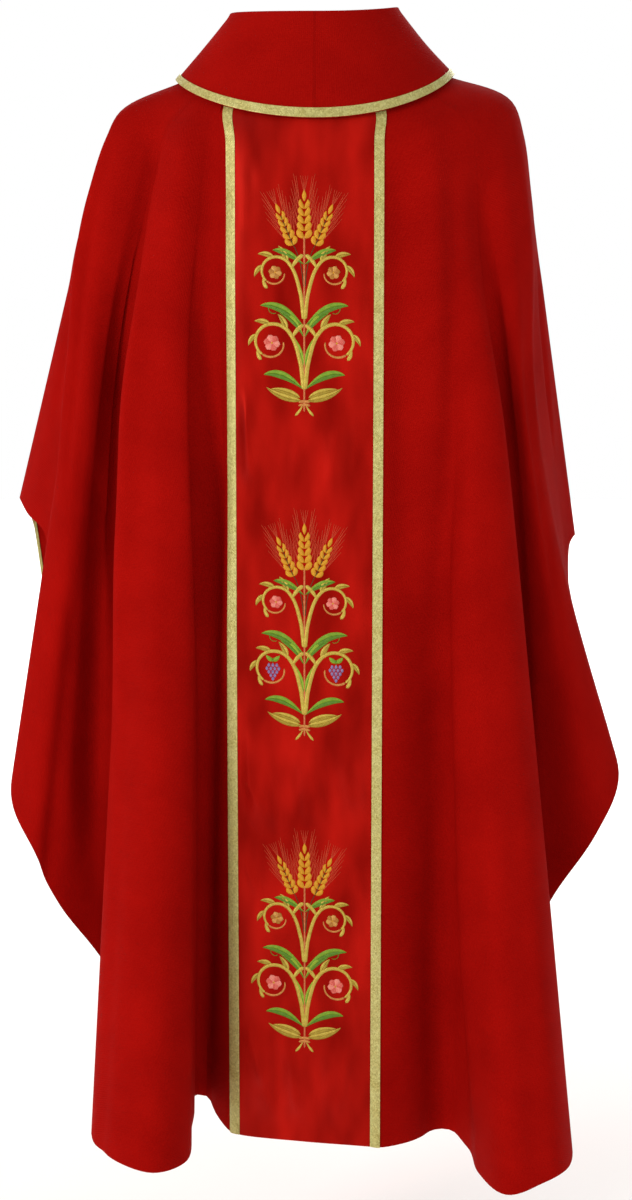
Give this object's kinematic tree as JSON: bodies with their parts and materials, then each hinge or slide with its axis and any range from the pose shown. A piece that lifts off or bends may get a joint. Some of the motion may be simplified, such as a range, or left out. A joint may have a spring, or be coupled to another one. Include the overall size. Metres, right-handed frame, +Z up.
{
  "type": "chasuble",
  "caption": "Wide sleeveless vestment hanging hollow from the shoulders, with a roll collar, a gold-edged centre-back band of satin and deep hanging folds.",
  "frame": {"origin": "middle of the neck, at the height of the shoulder line", "axes": "+Z up; the embroidered centre back faces -Y; +X to the right of someone who looks at the back"},
  "size_m": [0.7226, 0.484, 1.3351],
  "materials": {
    "red_cloth": "matt dense wool-look polyester, deep red",
    "red_satin": "soft-gloss red satin",
    "gold_galloon": "woven metallic gold braid, sparkling"
  },
  "bodies": {
    "root": {"back_panel": "red_cloth", "front_panel": "red_cloth", "collar": "red_cloth", "collar_galloon": "gold_galloon", "back_orphrey": "red_satin", "back_galloon_left": "gold_galloon", "back_galloon_right": "gold_galloon", "wing_tape_right": "gold_galloon", "wing_tape_left": "gold_galloon"}
  },
  "joints": []
}
